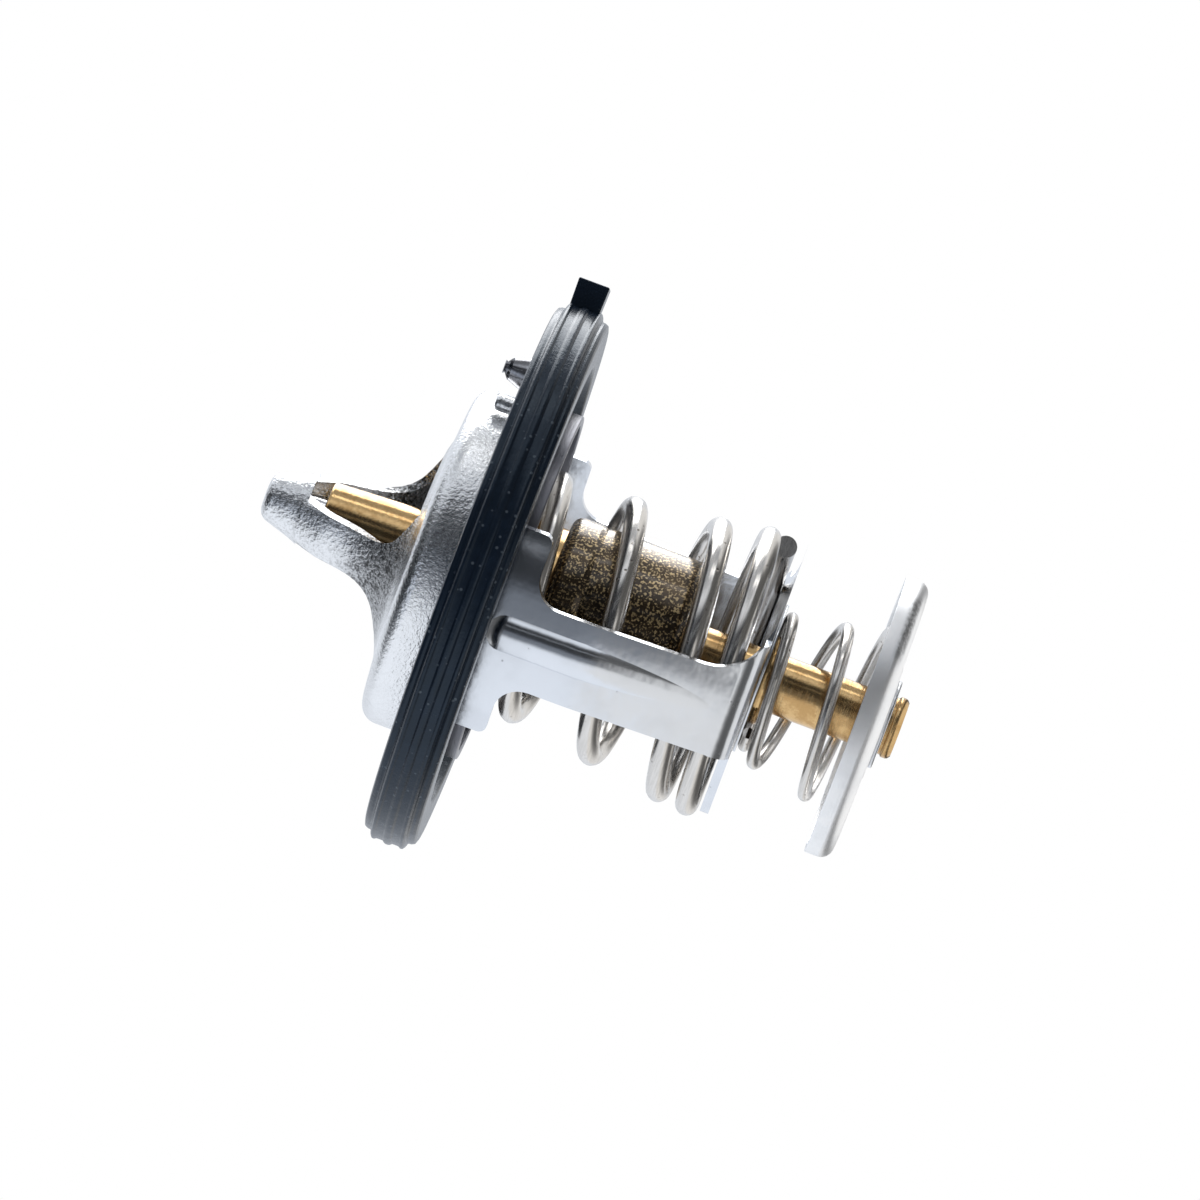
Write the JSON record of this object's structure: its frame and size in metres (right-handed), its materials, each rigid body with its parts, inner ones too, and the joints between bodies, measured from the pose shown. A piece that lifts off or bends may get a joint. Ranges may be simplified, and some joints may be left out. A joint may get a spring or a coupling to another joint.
{
  "type": "engine coolant temperature valve",
  "caption": "Wax-element coolant valve: stamped flange with a rubber gasket, bell and nose, main valve with coil spring, and a sprung bypass disc on its rod.",
  "frame": {"origin": "on the axis, in the middle of the flange, which is also the middle of the gasket", "axes": "+Z along the axis toward the nose, +X toward the gasket's locating tab and the jiggle pin, -Y toward the side that the picture shows"},
  "size_m": [0.0599, 0.0574, 0.0676],
  "materials": {
    "frame_steel": "satin, grainy where drawn",
    "polished_steel": "polished",
    "valve_steel": "satin",
    "spring_steel": "drawn wire, warm grey",
    "brass": "turned",
    "case_copper": "brown, speckled with gold",
    "rubber": "moulded, slightly dusty",
    "white_ring": "matte",
    "wax": "waxy",
    "piston_steel": "ground"
  },
  "bodies": {
    "frame": {"upper_frame": "frame_steel", "lower_frame": "polished_steel", "gasket": "rubber", "piston": "piston_steel", "main_spring": "spring_steel"},
    "element": {"main_valve": "valve_steel", "element_guide": "brass", "element_case": "case_copper", "rubber_boot": "rubber", "backup_ring": "white_ring", "piston_wiper": "white_ring", "wax_charge": "wax", "bypass_rod": "brass", "spring_seat": "polished_steel", "rod_collar": "brass", "retaining_clip": "polished_steel", "bypass_spring": "spring_steel"},
    "bypass": {"bypass_disc": "valve_steel"},
    "jiggle": {"jiggle_pin": "polished_steel"}
  },
  "joints": [
    {"name": "valve_travel", "type": "slide", "parent": "frame", "child": "element", "axis": [0, 0, -1], "range_m": [0, 0.007], "stiffness_N_per_m": 5000, "springref_m": -0.008, "deforming": ["main_spring"]},
    {"name": "bypass_travel", "type": "slide", "parent": "element", "child": "bypass", "axis": [0, 0, 1], "range_m": [0, 0.004], "stiffness_N_per_m": 800, "springref_m": -0.004, "deforming": ["bypass_spring"]},
    {"name": "jiggle_travel", "type": "slide", "parent": "frame", "child": "jiggle", "axis": [0, 0, 1], "range_m": [-0.0017, 0.00075]}
  ]
}
